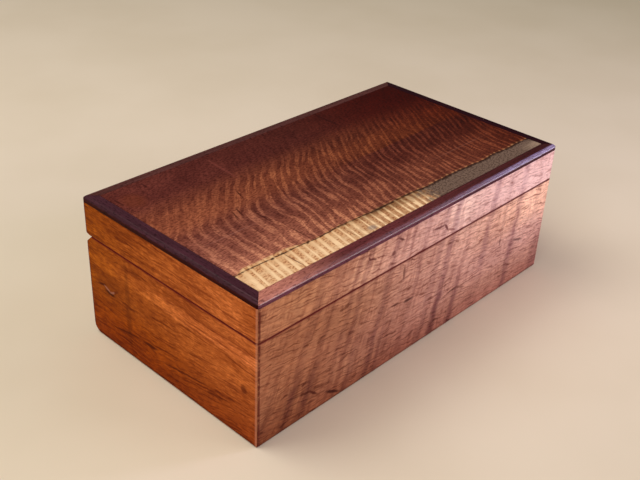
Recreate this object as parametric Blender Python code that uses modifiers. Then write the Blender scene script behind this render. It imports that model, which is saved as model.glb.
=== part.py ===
"""Wooden keepsake box: a mitred body and a hinged lid whose figured panel has a dark edging.

Units are metres and +Z is up. The origin is on the table, under the middle of the closed box.
The front is at -Y. Two butt hinges lie in the groove along the back, at +Y.
"""

from math import asin, atan2, cos, pi, radians, sin, sqrt

import bmesh
import bpy
from mathutils import Matrix

# Outside of the closed box
box_length = 0.300
box_width = 0.164
box_height = 0.105
seam_height = 0.077
corner_ease = 0.0012
bottom_edge_radius = 0.0015
back_foot_radius = 0.0105

# Clearance between neighbouring pieces, and how far a cutter runs past what it cuts
fit_gap = 0.0003
overrun = 0.002
weld_distance = 0.00002

# Walls of the body and rails of the lid
wall_thickness = 0.012
groove_height = 0.005
groove_depth = 0.005
base_thickness = 0.005
lining_thickness = 0.0015
lining_margin = 0.0006

# Edging and panel on top of the lid
trim_width = 0.0083
trim_height = 0.0044
trim_chamfer = 0.0020
panel_thickness = 0.006

# Groove along the back: a bevel on the body and a flatter one on the lid, whose outer edge is
# rounded and comes down on the body's bevel to stop the lid
bevel_depth = 0.0066
bevel_drop = 0.0062
lid_bevel_rise = 0.0013
lid_edge_radius = 0.0028

# Butt hinges
pin_setback = 0.0036
hinge_length = 0.028
hinge_inset = 0.035
leaf_width = 0.0070
leaf_thickness = 0.0011
knuckle_radius = 0.0021
knuckle_count = 5
pin_radius = 0.0008
pin_clearance = 0.0001
pin_end_chamfer = 0.00025

# Countersunk wood screws of the hinges: the bite is a share of the lid rail's height under its ledge
screw_spacing = 0.017
screw_setback = 0.0047
screw_bite_share = 0.366
screw_head_radius = 0.0015
screw_head_height = 0.0009
screw_head_sink = 0.0001
screw_shank_radius = 0.00075
screw_tip_share = 0.18
screw_slot_width = 0.0004
screw_slot_depth = 0.0004
screw_slot_turns = (radians(25), radians(70))

# How finely round shapes are drawn
edge_steps = 6
knuckle_steps = 20
turned_steps = 16
sharp_angle = radians(40)

# Places worked out from the sizes above
body_top = seam_height - fit_gap / 2
lid_bottom = seam_height + fit_gap / 2
rail_top = box_height - trim_height - fit_gap
ledge_height = box_height - panel_thickness - fit_gap
panel_inset = trim_width + fit_gap
groove_top = groove_height + base_thickness + 2 * fit_gap
base_inset = wall_thickness - groove_depth + fit_gap
base_bottom = groove_height + fit_gap
base_top = base_bottom + base_thickness
lining_inset = wall_thickness + lining_margin
leaf_near = fit_gap / 2
leaf_far = leaf_near + leaf_thickness
pin_y = box_width / 2 - pin_setback
pin_z = lid_bottom - fit_gap - leaf_far
hinge_x = box_length / 2 - hinge_inset - hinge_length / 2
knuckle_length = (hinge_length - (knuckle_count - 1) * fit_gap) / knuckle_count
knuckle_room = knuckle_radius + fit_gap
screw_length = leaf_thickness + screw_bite_share * (ledge_height - lid_bottom)
bore_radius = pin_radius + pin_clearance

# Each side's turn about the vertical axis, seen from above, starting at the front
side_turns = {"front": 0, "right": pi / 2, "back": pi, "left": -pi / 2}


def clear_scene():
    """Remove every object that the file opened with."""
    for thing in list(bpy.data.objects):
        bpy.data.objects.remove(thing)


def new_collection(name):
    collection = bpy.data.collections.new(name)
    bpy.context.scene.collection.children.link(collection)
    return collection


def finish(name, colour, roughness, metallic=0):
    """A plain material in linear colour."""
    material = bpy.data.materials.new(name)
    material.use_nodes = True
    shader = material.node_tree.nodes["Principled BSDF"]
    shader.inputs["Base Color"].default_value = (*colour, 1)
    shader.inputs["Roughness"].default_value = roughness
    shader.inputs["Metallic"].default_value = metallic
    material.diffuse_color = (*colour, 1)
    return material


def arc(centre, radius, start, end, steps):
    """Points on a circle from one angle to another, both ends included."""
    turns = [start + (end - start) * step / steps for step in range(steps + 1)]
    return [(centre[0] + radius * cos(turn), centre[1] + radius * sin(turn)) for turn in turns]


def extruded_mesh(name, loops, length):
    """Flat outlines in the YZ plane, drawn out along X by half the length each way."""
    curve = bpy.data.curves.new(name, "CURVE")
    curve.dimensions = "2D"
    curve.fill_mode = "BOTH"
    curve.extrude = length / 2
    for loop in loops:
        spline = curve.splines.new("POLY")
        spline.points.add(len(loop) - 1)
        for point, (across, up) in zip(spline.points, loop):
            point.co = (across, up, 0, 1)
        spline.use_cyclic_u = True
    outline = bpy.data.objects.new(name + "_outline", curve)
    bpy.context.scene.collection.objects.link(outline)
    graph = bpy.context.evaluated_depsgraph_get()
    mesh = bpy.data.meshes.new_from_object(outline.evaluated_get(graph))
    bpy.data.objects.remove(outline)
    bpy.data.curves.remove(curve)
    mesh.name = name
    stand_up = Matrix(((0, 0, 1, 0), (1, 0, 0, 0), (0, 1, 0, 0), (0, 0, 0, 1)))
    form = bmesh.new()
    form.from_mesh(mesh)
    bmesh.ops.remove_doubles(form, verts=form.verts, dist=weld_distance)
    bmesh.ops.transform(form, matrix=stand_up, verts=form.verts)
    bmesh.ops.recalc_face_normals(form, faces=form.faces)
    form.to_mesh(mesh)
    form.free()
    return mesh


def cut_away(form, point, normal):
    """Cut off what lies beyond a plane, on the side its normal points to, and close the cut."""
    cut = bmesh.ops.bisect_plane(form, geom=form.verts[:] + form.edges[:] + form.faces[:],
                                 dist=weld_distance, plane_co=point, plane_no=normal,
                                 clear_outer=True)
    rim = [edge for edge in cut["geom_cut"] if isinstance(edge, bmesh.types.BMEdge)]
    bmesh.ops.holes_fill(form, edges=rim)


def mitre_ends(mesh, length):
    """Mitre both ends of a frame piece and ease the upright corner that it makes."""
    form = bmesh.new()
    form.from_mesh(mesh)
    for end in (-1, 1):
        cut_away(form, (end * (length / 2 - fit_gap / sqrt(2)), 0, 0), (end, 1, 0))
        cut_away(form, (end * (length / 2 - corner_ease), 0, 0), (end, -1, 0))
    bmesh.ops.recalc_face_normals(form, faces=form.faces)
    form.to_mesh(mesh)
    form.free()


def box_mesh(name, size):
    """A block centred on its own origin."""
    mesh = bpy.data.meshes.new(name)
    form = bmesh.new()
    bmesh.ops.create_cube(form, size=1)
    bmesh.ops.scale(form, vec=size, verts=form.verts)
    form.to_mesh(mesh)
    form.free()
    return mesh


def add_object(name, mesh, collection, place, turn=(0, 0, 0), material=None, parent=None):
    """Put a mesh in the model, at a place and turn given in the box's own frame."""
    thing = bpy.data.objects.new(name, mesh)
    collection.objects.link(thing)
    thing.rotation_euler = turn
    thing.location = place
    if parent:
        thing.parent = parent
        thing.location = [here - there for here, there in zip(place, parent.location)]
    if material:
        mesh.materials.clear()
        mesh.materials.append(material)
        mesh.shade_smooth()
        mesh.set_sharp_from_angle(angle=sharp_angle)
    return thing


def add_cutter(name, mesh, place, turn=(0, 0, 0)):
    cutter = add_object(name, mesh, cutters, place, turn)
    cutter.hide_render = True
    cutter.display_type = "WIRE"
    return cutter


def add_bar_cutter(name, outline, length, place, turn=(0, 0, 0)):
    return add_cutter(name, extruded_mesh(name, [outline], length), place, turn)


def cut_with(thing, cutter):
    """Take the cutter's shape out of the object."""
    cut = thing.modifiers.new(cutter.name, "BOOLEAN")
    cut.operation = "DIFFERENCE"
    cut.solver = "EXACT"
    cut.object = cutter


def add_frame_piece(name, outline, side, material, parent=None):
    """One mitred side of the box; the outline gives depth in from the outer face, and height."""
    runs_along_x = side in ("front", "back")
    length = box_length if runs_along_x else box_width
    reach = box_width / 2 if runs_along_x else box_length / 2
    turn = side_turns[side]
    mesh = extruded_mesh(name, [outline], length)
    mitre_ends(mesh, length)
    place = (reach * sin(turn), -reach * cos(turn), 0)
    return add_object(name, mesh, box, place, (0, 0, turn), material, parent)


def turned(thing, profile):
    """Turn the object's profile, given as radius and height from the top down, about its Z."""
    form = bmesh.new()
    points = [form.verts.new((radius, 0, height)) for radius, height in profile]
    for upper, lower in zip(points, points[1:]):
        form.edges.new((upper, lower))
    form.to_mesh(thing.data)
    form.free()
    lathe = thing.modifiers.new("lathe", "SCREW")
    lathe.axis = "Z"
    lathe.angle = 2 * pi
    lathe.screw_offset = 0
    lathe.steps = turned_steps
    lathe.render_steps = turned_steps
    lathe.use_merge_vertices = True
    lathe.merge_threshold = weld_distance
    lathe.use_smooth_shade = True


def wall_outline():
    """Section of a body wall: rounded foot outside, and a groove inside for the base."""
    foot = arc((bottom_edge_radius, bottom_edge_radius), bottom_edge_radius, pi, 1.5 * pi, edge_steps)
    groove_floor = wall_thickness - groove_depth
    return foot + [
        (wall_thickness, 0),
        (wall_thickness, groove_height),
        (groove_floor, groove_height),
        (groove_floor, groove_top),
        (wall_thickness, groove_top),
        (wall_thickness, body_top),
        (0, body_top),
    ]


def rail_outline():
    """Section of a lid rail: a ledge inside carries the panel."""
    return [
        (0, lid_bottom),
        (wall_thickness, lid_bottom),
        (wall_thickness, ledge_height),
        (trim_width, ledge_height),
        (trim_width, rail_top),
        (0, rail_top),
    ]


def trim_outline():
    """Section of the edging: its outer top edge is chamfered."""
    foot = rail_top + fit_gap
    return [
        (0, foot),
        (trim_width, foot),
        (trim_width, box_height),
        (trim_chamfer, box_height),
        (0, box_height - trim_chamfer),
    ]


def back_foot_outline():
    """Section of what the rounding takes off the foot of the back, open outwards and downwards."""
    centre = (back_foot_radius, back_foot_radius)
    rounding = arc(centre, back_foot_radius, 1.5 * pi, pi, 2 * edge_steps)
    return [(-overrun, -overrun), (back_foot_radius, -overrun)] + rounding + [(-overrun, back_foot_radius)]


def groove_outline():
    """Section of the groove along the back, open outwards."""
    past_drop = bevel_drop * (1 + overrun / bevel_depth)
    slope = atan2(lid_bevel_rise, bevel_depth)
    rise_at_centre = lid_bevel_rise * (1 - lid_edge_radius / bevel_depth)
    centre_height = lid_bottom + rise_at_centre + lid_edge_radius / cos(slope)
    lid_edge = arc((lid_edge_radius, centre_height), lid_edge_radius, 1.5 * pi - slope, pi, edge_steps)
    inner = [(-overrun, body_top - past_drop), (bevel_depth, body_top), (bevel_depth, lid_bottom)]
    return inner + lid_edge + [(-overrun, centre_height)]


def make_body():
    """Four mitred walls, the base in their groove and the lining that lies on it."""
    walls = {side: add_frame_piece(side + "_wall", wall_outline(), side, wall_wood)
             for side in side_turns}
    base_size = (box_length - 2 * base_inset, box_width - 2 * base_inset, base_thickness)
    add_object("base_panel", box_mesh("base_panel", base_size), box,
               (0, 0, base_bottom + base_thickness / 2), material=base_wood)
    lining_size = (box_length - 2 * lining_inset, box_width - 2 * lining_inset, lining_thickness)
    add_object("base_lining", box_mesh("base_lining", lining_size), box,
               (0, 0, base_top + fit_gap + lining_thickness / 2), material=felt)
    return walls


def make_lid(axis):
    """Four mitred rails, the panel on their ledge and the edging round it."""
    rails = {side: add_frame_piece(f"lid_{side}_rail", rail_outline(), side, wall_wood, axis)
             for side in side_turns}
    panel_size = (box_length - 2 * panel_inset, box_width - 2 * panel_inset, panel_thickness)
    add_object("lid_panel", box_mesh("lid_panel", panel_size), box,
               (0, 0, box_height - panel_thickness / 2), material=panel_wood, parent=axis)
    for side in side_turns:
        add_frame_piece(f"trim_{side}", trim_outline(), side, trim_wood, axis)
    return rails


def cut_back_groove(walls, rails):
    """Cut the groove through the back and through the ends of both sides."""
    length = box_length + 2 * overrun
    cutter = add_bar_cutter("back_groove", groove_outline(), length,
                            (0, box_width / 2, 0), (0, 0, side_turns["back"]))
    for side in ("back", "left", "right"):
        cut_with(walls[side], cutter)
        cut_with(rails[side], cutter)


def round_back_foot(walls):
    """Round the foot of the back, through the ends of both sides."""
    length = box_length + 2 * overrun
    cutter = add_bar_cutter("back_foot", back_foot_outline(), length,
                            (0, box_width / 2, 0), (0, 0, side_turns["back"]))
    for side in ("back", "left", "right"):
        cut_with(walls[side], cutter)


def leaf_loops(way):
    """Section of a rolled hinge leaf about its pin: above it for the lid (1), below for the body (-1)."""
    start = pi - asin(leaf_near / knuckle_radius)
    end = 3 * pi - asin(leaf_far / knuckle_radius)
    rolled = arc((0, 0), knuckle_radius, start, end, knuckle_steps)
    outer = [(-leaf_width, leaf_near)] + rolled + [(-leaf_width, leaf_far)]
    bore = arc((0, 0), bore_radius, 0, 2 * pi, turned_steps)[:-1]
    return [[(across, way * up) for across, up in loop] for loop in (outer, bore)]


def knuckle_start(index):
    """Where a knuckle begins along the pin, from the middle of the hinge."""
    return index * (knuckle_length + fit_gap) - hinge_length / 2


def make_leaf(name, way, first_cut, place, parent):
    """A hinge leaf, with room cut in it for every second knuckle, which the other leaf has."""
    mesh = extruded_mesh(name, leaf_loops(way), hinge_length)
    leaf = add_object(name, mesh, box, place, material=brass, parent=parent)
    past = knuckle_radius + overrun
    size = (knuckle_length + 2 * fit_gap, knuckle_room + past, 2 * past)
    for index in range(first_cut, knuckle_count, 2):
        middle = knuckle_start(index) + knuckle_length / 2
        spot = (place[0] + middle, place[1] + (past - knuckle_room) / 2, place[2])
        cutter_name = f"{name}_room_{index}"
        cut_with(leaf, add_cutter(cutter_name, box_mesh(cutter_name, size), spot))
    return leaf


def screw_profile(extra):
    """A countersunk wood screw from its head down, made larger all round by the extra."""
    shank_end = -screw_length * (1 - screw_tip_share)
    head = screw_head_radius + extra
    shank = screw_shank_radius + extra
    if extra:
        crown = [(0, overrun), (head, overrun)]
    else:
        crown = [(0, 0)]
    return crown + [
        (head, 0),
        (shank, -screw_head_height),
        (shank, shank_end - extra),
        (0, -screw_length - extra),
    ]


def make_screw(name, leaf, timber, way, slot_turn, place, parent):
    """A slotted screw through a leaf into the timber: downwards (-1) or upwards (1)."""
    turn = (pi if way == 1 else 0, 0, slot_turn)
    screw = add_object(name, bpy.data.meshes.new(name), box, place, turn, brass, parent)
    turned(screw, screw_profile(0))
    slot_name = name + "_slot"
    slot_size = (2 * (screw_head_radius + overrun), screw_slot_width, 2 * screw_slot_depth)
    cut_with(screw, add_cutter(slot_name, box_mesh(slot_name, slot_size), place, turn))
    hole_name = name + "_hole"
    hole = add_cutter(hole_name, bpy.data.meshes.new(hole_name), place, turn)
    turned(hole, screw_profile(fit_gap))
    cut_with(leaf, hole)
    cut_with(timber, hole)


def gain_outline():
    """Section of the recess in the body wall that holds both folded leaves and the knuckles."""
    floor = -leaf_far - fit_gap
    back_end = -leaf_width - fit_gap
    pocket = arc((0, 0), knuckle_room, pi - asin(floor / knuckle_room), 2.5 * pi, knuckle_steps)
    return [(back_end, floor)] + pocket + [(back_end, knuckle_room)]


def cut_hinge_recesses(name, place, back_wall, back_rail):
    """Make room for the folded leaves in the body, and for the knuckles in the lid."""
    length = hinge_length + 2 * fit_gap
    cut_with(back_wall, add_bar_cutter(name + "_gain", gain_outline(), length, place))
    round_pocket = arc((0, 0), knuckle_room, 0, 2 * pi, knuckle_steps)[:-1]
    cut_with(back_rail, add_bar_cutter(name + "_pocket", round_pocket, length, place))


def make_pin(name, place):
    """The hinge pin, as long as the knuckles, with chamfered ends."""
    pin = add_object(name, bpy.data.meshes.new(name), box, place, (0, pi / 2, 0), brass)
    half = hinge_length / 2
    turned(pin, [
        (0, half),
        (pin_radius - pin_end_chamfer, half),
        (pin_radius, half - pin_end_chamfer),
        (pin_radius, -half + pin_end_chamfer),
        (pin_radius - pin_end_chamfer, -half),
        (0, -half),
    ])


def make_hinge(side, centre_x, back_wall, back_rail, axis):
    """A butt hinge let into the body, with its lid leaf under the lid's back rail."""
    name = "hinge_" + side
    place = (centre_x, pin_y, pin_z)
    cut_hinge_recesses(name, place, back_wall, back_rail)
    body_leaf = make_leaf(name + "_body_leaf", -1, 1, place, None)
    lid_leaf = make_leaf(name + "_lid_leaf", 1, 0, place, axis)
    make_pin(name + "_pin", place)
    head_level = leaf_near + screw_head_sink
    for number, way, slot_turn in zip((1, 2), (-1, 1), screw_slot_turns):
        x = centre_x + way * screw_spacing / 2
        y = pin_y - screw_setback
        make_screw(f"{name}_body_screw_{number}", body_leaf, back_wall, -1, slot_turn,
                   (x, y, pin_z - head_level), None)
        make_screw(f"{name}_lid_screw_{number}", lid_leaf, back_rail, 1, slot_turn,
                   (x, y, pin_z + head_level), axis)


clear_scene()
box = new_collection("keepsake_box")
cutters = new_collection("cutters")

wall_wood = finish("cherry_walls", (0.46, 0.17, 0.07), 0.42)
panel_wood = finish("figured_panel", (0.17, 0.040, 0.022), 0.34)
trim_wood = finish("dark_edging", (0.060, 0.013, 0.016), 0.34)
base_wood = finish("base_plywood", (0.50, 0.33, 0.18), 0.60)
felt = finish("lining_felt", (0.035, 0.040, 0.030), 0.95)
brass = finish("hinge_brass", (0.62, 0.43, 0.16), 0.30, 1)

lid_axis = bpy.data.objects.new("lid_axis", None)
lid_axis.location = (0, pin_y, pin_z)
box.objects.link(lid_axis)

body_walls = make_body()
lid_rails = make_lid(lid_axis)
cut_back_groove(body_walls, lid_rails)
round_back_foot(body_walls)
for hinge_side, way_out in (("left", -1), ("right", 1)):
    make_hinge(hinge_side, way_out * hinge_x, body_walls["back"], lid_rails["back"], lid_axis)
bpy.context.view_layer.update()
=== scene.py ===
"""Looks of the wooden keepsake box: eased arrises, figured woods, felt, brass and a plain studio.

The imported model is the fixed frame. Units are metres unless a name says mm; +Z is up and the
front is at -Y. Every wood pattern is drawn in millimetres on the board it belongs to, so it runs
on across the seam between the body and the lid, as it does where both are sawn from one board.
"""

from math import cos, pi, radians, sin, sqrt

import bmesh
import bpy
from bpy.props import FloatProperty, FloatVectorProperty, PointerProperty
from mathutils import Matrix, Vector


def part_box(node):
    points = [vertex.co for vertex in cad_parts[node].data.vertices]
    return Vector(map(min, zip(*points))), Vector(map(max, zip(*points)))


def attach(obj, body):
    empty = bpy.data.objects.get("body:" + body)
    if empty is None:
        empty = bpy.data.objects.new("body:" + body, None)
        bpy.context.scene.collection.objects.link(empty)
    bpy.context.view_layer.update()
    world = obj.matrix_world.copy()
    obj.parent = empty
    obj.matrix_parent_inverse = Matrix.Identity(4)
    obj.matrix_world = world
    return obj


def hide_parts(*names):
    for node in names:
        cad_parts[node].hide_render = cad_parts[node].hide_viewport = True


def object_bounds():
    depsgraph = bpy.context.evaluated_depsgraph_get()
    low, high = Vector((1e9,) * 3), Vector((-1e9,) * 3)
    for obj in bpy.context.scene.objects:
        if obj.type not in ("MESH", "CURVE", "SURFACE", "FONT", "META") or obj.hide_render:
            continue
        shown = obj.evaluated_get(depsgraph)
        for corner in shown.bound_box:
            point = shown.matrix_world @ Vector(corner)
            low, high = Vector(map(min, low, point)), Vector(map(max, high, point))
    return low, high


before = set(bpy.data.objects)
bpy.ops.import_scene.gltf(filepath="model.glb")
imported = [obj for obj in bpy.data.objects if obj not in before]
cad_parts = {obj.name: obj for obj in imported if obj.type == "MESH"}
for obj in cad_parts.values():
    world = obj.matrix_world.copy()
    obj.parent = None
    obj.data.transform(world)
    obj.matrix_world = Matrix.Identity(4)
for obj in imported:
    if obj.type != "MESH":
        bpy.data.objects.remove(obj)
cad_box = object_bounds()

bl_info = {
    "name": "Keepsake Box Looks",
    "version": (1, 0, 0),
    "blender": (4, 5, 0),
    "location": "View3D > Sidebar > Keepsake Box",
    "description": "Eases the arrises of a wooden keepsake box and gives it its woods, felt and brass",
    "category": "Object",
}

# The frame's own sizes
box_low, box_high = cad_box
box_length = box_high.x - box_low.x
box_width = box_high.y - box_low.y
panel_low, panel_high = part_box("lid_panel")
rail_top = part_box("lid_front_rail")[1].z
edging_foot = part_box("trim_front")[0].z
mm = 0.001

# How the frame's pieces are told apart and joined
sides = ("front", "right", "back", "left")
side_turns = dict(zip(sides, (0, pi / 2, pi, -pi / 2)))
mitre_slack = 0.0003 / sqrt(2)
slack_tolerance = 0.00003
upright_slack = 0.01
merge_distance = 0.00001
flat_angle = radians(0.5)
sharp_angle = radians(32)
easing_angle = radians(30)
long_edge = 0.008
leaf_edge = 0.003
chamfer_facing = 0.2
gleam_facing = 0.69


def board_reach(side):
    """Half the length of a side of the box, and how far its outer face is from the box's middle."""
    reaches = (box_length / 2, box_width / 2)
    return reaches if side in ("front", "back") else reaches[::-1]


def linear(hex_code):
    """The linear colour of an sRGB hex value."""
    shares = [int(hex_code[start:start + 2], 16) / 255 for start in (0, 2, 4)]
    return [share / 12.92 if share <= 0.04045 else ((share + 0.055) / 1.055) ** 2.4 for share in shares]


def colour_property(name, hex_code, description):
    return FloatVectorProperty(name=name, description=description, subtype="COLOR", size=3,
                               min=0, max=1, default=linear(hex_code))


def length_property(name, millimetres, description):
    return FloatProperty(name=name, description=description, subtype="DISTANCE", unit="LENGTH",
                         min=0, precision=5, default=millimetres * mm)


class KeepsakeBoxSizes(bpy.types.PropertyGroup):
    """Sizes of the fine shapes that the looks add to the frame"""

    wall_arris: length_property("Wall arris", 0.4, "Radius that eases the edges of walls and rails")
    edging_arris: length_property("Edging arris", 0.55, "Radius that softens the edging's chamfer")
    panel_arris: length_property("Panel arris", 0.12, "Radius that eases the panel's edges")
    brass_arris: length_property("Brass arris", 0.1, "Radius that breaks the edges of the hinge leaves")
    felt_arris: length_property("Felt arris", 0.6, "Radius of the felt's soft cut edges")
    corner_round: length_property("Corner round", 2.0, "Radius of the upright corners at the mitres")
    hairline: length_property("Glue hairline", 0.06, "Width of a closed glue joint")
    stripe_spacing: length_property("Stripe spacing", 6.4, "Spacing of the panel's fiddleback stripes")


class KeepsakeBoxColours(bpy.types.PropertyGroup):
    """Colours of the woods, the felt, the brass and the floor"""

    # The front board's paler, pinker right end is partly its own tone and partly painted sheen
    front_left: colour_property("Front, left", "C48A66", "Front board at its left end")
    front_right: colour_property("Front, right", "FFD8D0", "Front board at its right end")
    end_wood: colour_property("End boards, right", "D87A3C", "End boards, at their right end")
    end_far: colour_property("End boards, left", "AC580A", "End boards, at their left end")
    # Panel ends: partly the wood's own tone, partly painted light that falls off to the right, with painted
    # sheen at the left
    panel_near: colour_property("Panel, left", "925746", "Panel at its left end")
    panel_far: colour_property("Panel, right", "4A180A", "Panel at its right end")
    sapwood: colour_property("Sapwood", "FFE0B4", "Pale strip along the panel's front")
    spalt: colour_property("Grey sapwood", "6A564A", "Grey part of the pale strip")
    # The four edging sides are one wood; their colours differ partly as painted light and shade, darkest on
    # the right end
    edging: colour_property("Edging", "5A2A2C", "Dark edging along the front, in its middle")
    edging_far: colour_property("Edging, far end", "3C1618", "Dark edging at the front's right end")
    edging_left: colour_property("Edging, left", "3E2029", "Dark edging along the left end")
    edging_back: colour_property("Edging, back", "4C2A27", "Dark edging along the back")
    edging_right: colour_property("Edging, right", "240A12", "Dark edging along the right end")
    edging_pale: colour_property("Pale edging", "BE7C6C", "Salmon end of the front edging")
    plywood: colour_property("Plywood", "D2B48C", "Face veneer of the base")
    felt: colour_property("Felt", "343A30", "Lining on the base")
    brass: colour_property("Brass", "C9A45C", "Hinges and their screws")
    floor: colour_property("Floor", "E4D8C4", "Studio floor")


def put(tree, kind, inputs=(), **settings):
    """Add a node with its settings; an input takes a value, or the node or socket that feeds it."""
    made = tree.nodes.new("ShaderNode" + kind)
    for name, value in settings.items():
        setattr(made, name, value)
    for name, value in dict(inputs).items():
        socket = next(s for n, s in enumerate(made.inputs) if s.enabled and name in (n, s.name))
        if isinstance(value, bpy.types.Node):
            value = next(output for output in value.outputs if output.enabled)
        if isinstance(value, bpy.types.NodeSocket):
            tree.links.new(value, socket)
        elif socket.type == "RGBA":
            socket.default_value = (*value, 1)
        else:
            socket.default_value = value
    return made


def new_material(name):
    """A material with its tree and its Principled BSDF."""
    material = bpy.data.materials.new(name)
    material.use_nodes = True
    return material, material.node_tree, material.node_tree.nodes["Principled BSDF"]


def board_place(tree, side):
    """Places on a board in mm: along it to the right, inwards and up, seen from its outer face."""
    object_place = put(tree, "TexCoord").outputs["Object"]
    turned = put(tree, "Mapping", {"Vector": object_place, "Rotation": (0, 0, -side_turns[side])})
    return put(tree, "VectorMath", {0: turned, "Scale": 1 / mm}, operation="SCALE")


def noise(tree, place, size_mm, detail, shift):
    """Noise with features of a real size along, across and up."""
    cells = put(tree, "VectorMath", {0: place, 1: [1 / size for size in size_mm], 2: [shift] * 3},
                operation="MULTIPLY_ADD")
    return put(tree, "TexNoise", {"Vector": cells, "Scale": 1.0, "Detail": detail})


def grain(tree, place, size_mm, start, end, detail=2.0, shift=0.0):
    """Noise of a real size that becomes 0 at the start and below, and 1 at the end and above."""
    return zone(tree, (noise(tree, place, size_mm, detail, shift), start, end))


def swing_of(tree, turns):
    """A wave between -1 and 1, once for every turn."""
    angle = put(tree, "Math", {0: turns, 1: 2 * pi}, operation="MULTIPLY")
    return put(tree, "Math", {0: angle}, operation="SINE")


def product(tree, *factors):
    """All factors multiplied together."""
    result = factors[0]
    for factor in factors[1:]:
        result = put(tree, "Math", {0: result, 1: factor}, operation="MULTIPLY")
    return result


def zone(tree, *steps):
    """Smooth steps multiplied together: each is 0 at its start and 1 at its end, which may lie lower."""
    return product(tree, *(put(tree, "MapRange", {"Value": value, "From Min": start, "From Max": end},
                               interpolation_type="SMOOTHSTEP") for value, start, end in steps))


def layered(tree, colour, *layers, blend="MIX"):
    """Lay colours over one another, each as strongly as all its covers multiplied together say."""
    for over, *covers in layers:
        colour = put(tree, "Mix", {"Factor": product(tree, *covers), "A": colour, "B": over},
                     data_type="RGBA", blend_type=blend)
    return colour


def tinted(tree, colour, *tints):
    """Multiply a colour by tints, each as strongly as all its covers multiplied together say."""
    return layered(tree, colour, *tints, blend="MULTIPLY")


def wavering(tree, place, size_mm, reach_mm, shift=0.0):
    """The place moved to and fro along its three axes by noise, so that grain wanders."""
    drifts = noise(tree, place, size_mm, 2.0, shift).outputs["Color"]
    centred = put(tree, "VectorMath", {0: drifts, 1: (0.5, 0.5, 0.5)}, operation="SUBTRACT")
    return put(tree, "VectorMath", {0: centred, 1: reach_mm, 2: place}, operation="MULTIPLY_ADD")


def height_curve(tree, value, start, end, points):
    """A smooth curve through (value, height) points, for values from start to end."""
    share = put(tree, "MapRange", {"Value": value, "From Min": start, "From Max": end})
    top = max(height for _, height in points)
    made = put(tree, "FloatCurve", {"Value": share})
    curve = made.mapping.curves[0]
    places = [((at - start) / (end - start), height / top) for at, height in points]
    curve.points[0].location = places[0]
    curve.points[1].location = places[-1]
    for place in places[1:-1]:
        curve.points.new(*place)
    made.mapping.update()
    return put(tree, "Math", {0: made, 1: top}, operation="MULTIPLY")


def mark(tree, place, centre, reach, tilt=0.0, softness=0.5):
    """A small flaw in the grain: 1 inside an ellipse of this reach in mm, 0 outside."""
    turned = put(tree, "Mapping", {"Vector": place, "Location": (-centre[0], 0, -centre[1])})
    tilted = put(tree, "VectorRotate", {"Vector": turned, "Angle": tilt}, rotation_type="Y_AXIS")
    flat = put(tree, "VectorMath", {0: tilted, 1: (1 / reach[0], 0, 1 / reach[1])}, operation="MULTIPLY")
    distance = put(tree, "VectorMath", {0: flat}, operation="LENGTH")
    return zone(tree, (distance.outputs["Value"], 1 + softness, 1 - softness))


def surfaced(tree, shader, colour, roughness, shine=0.5):
    """Give the shader its colour, its roughness, which is a number or a node, and its shine."""
    tree.links.new(colour.outputs[2], shader.inputs["Base Color"])
    if isinstance(roughness, bpy.types.Node):
        tree.links.new(roughness.outputs[0], shader.inputs["Roughness"])
    else:
        shader.inputs["Roughness"].default_value = roughness
    shader.inputs["Specular IOR Level"].default_value = shine


def pimpled(tree, shader, height, depth_mm, strength):
    """Bump of a real depth."""
    bump = put(tree, "Bump", {"Height": height, "Strength": strength, "Distance": depth_mm * mm})
    tree.links.new(bump.outputs["Normal"], shader.inputs["Normal"])


def pitted(tree, shader, holes, depth_mm, strength):
    """Bump that sinks by a real depth where the holes are 1."""
    height = put(tree, "Math", {0: 1, 1: holes}, operation="SUBTRACT")
    pimpled(tree, shader, height, depth_mm, strength)


def toned(tree, under, dark, light, cover):
    """Multiply a colour by a dark tint where the cover is 1 and by a light tint where it is 0."""
    tint = layered(tree, light, (dark, cover))
    return tinted(tree, under, (tint, 1.0))


def with_marks(tree, colour, place, marks):
    """Lay small flaws over a colour: each has a centre, a reach, a tilt, a hex colour and a strength."""
    return layered(tree, colour, *((linear(hex_code), mark(tree, place, centre, reach, tilt), strength)
                                   for centre, reach, tilt, hex_code, strength in marks))


def clouded(tree, colour, place, tint, *clouds):
    """Multiply a colour by one tint in broad soft clouds, each with a centre and a reach."""
    return tinted(tree, colour, *((tint, mark(tree, place, centre, reach, softness=cloud_softness))
                                  for centre, reach in clouds))


# Broad clouds fade out over nearly their whole reach
cloud_softness = 0.9

# The seam's height, and the painted shade that darkens every board towards its foot: height, and how dark
seam_height_mm = 77
board_top_mm = 105
board_foot_shade_mm = ((0, 1), (6, 0.95), (15, 0.8), (35, 0.6), (55, 0.46), (76, 0.32), (77.4, 0), (105, 0))

# Spacing of the front board's ripples
ripple_spacing_mm = 3.3

# Dark cross bands of the front board: place along it at the band height, half width, strength at the
# head and strength at the foot
front_band_height_mm = 60
bands_from_mm = -150
bands_to_mm = 160
band_softness = 1.4
front_bands_mm = (
    (-130, 5, 0.25, 0.4), (-108.6, 4.5, 0.45, 1.0), (-94.2, 4, 0.4, 0.9), (-75.3, 3, 0.5, 0.2),
    (-66.8, 3, 0.7, 0.1), (-57.3, 4, 0.1, 0.75), (-38.8, 4, 0.6, 0.9), (-29.5, 3.5, 0.2, 0.7),
    (-23.5, 2.5, 0.4, 0.1), (-7.5, 3, 0.4, 0.3), (13.4, 3.5, 0.55, 0.5), (26.3, 4, 0.8, 1.0),
    (45.8, 4, 0.2, 0.9), (72.2, 4, 0.8, 0.3), (92.2, 2, 0.3, 0.1), (108.9, 4.2, 0.85, 0.85),
    (133.1, 2.5, 0.25, 0.1), (147.1, 6, 0.0, 0.7),
)

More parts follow.
